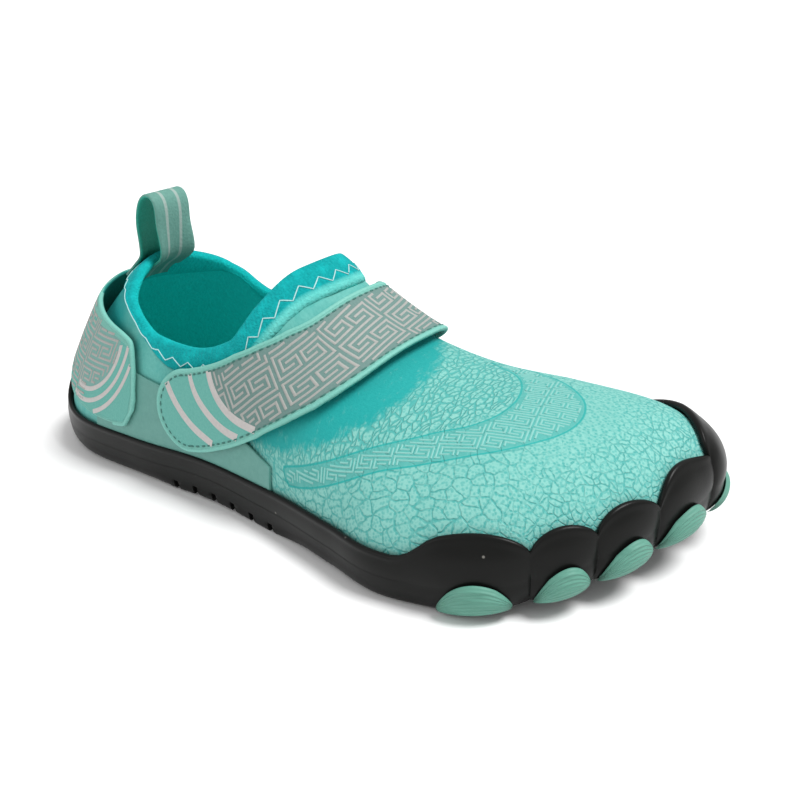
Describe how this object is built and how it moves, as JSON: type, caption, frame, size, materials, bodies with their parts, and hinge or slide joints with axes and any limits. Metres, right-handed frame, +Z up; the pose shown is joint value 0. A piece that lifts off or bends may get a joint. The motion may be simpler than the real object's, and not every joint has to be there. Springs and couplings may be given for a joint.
{
  "type": "water shoe",
  "caption": "Right five-toed water shoe: moulded rubber sole with toe lobes, stretch upper, soft collar, heel band, pull loop and one closing strap over the instep.",
  "frame": {"origin": "middle of the bounding box at the floor", "axes": "+X from heel to toe, +Y to the medial side, +Z up"},
  "size_m": [0.2508, 0.0992, 0.0919],
  "materials": {
    "black_rubber": "satin",
    "mint_rubber": "satin",
    "printed_stretch": "matte",
    "collar_knit": "matte",
    "insole_cloth": "matte",
    "quarter_sheet": "matte",
    "woven_strap": "matte"
  },
  "bodies": {
    "root": {"outsole": "black_rubber", "upper": "printed_stretch", "collar": "collar_knit", "insole": "insole_cloth", "quarter_lateral": "quarter_sheet", "quarter_medial": "quarter_sheet", "heel_sling": "woven_strap", "strap": "woven_strap", "pull_loop": "woven_strap", "toe_pod_1": "mint_rubber", "toe_pod_2": "mint_rubber", "toe_pod_3": "mint_rubber", "toe_pod_4": "mint_rubber", "toe_pod_5": "mint_rubber"}
  },
  "joints": []
}
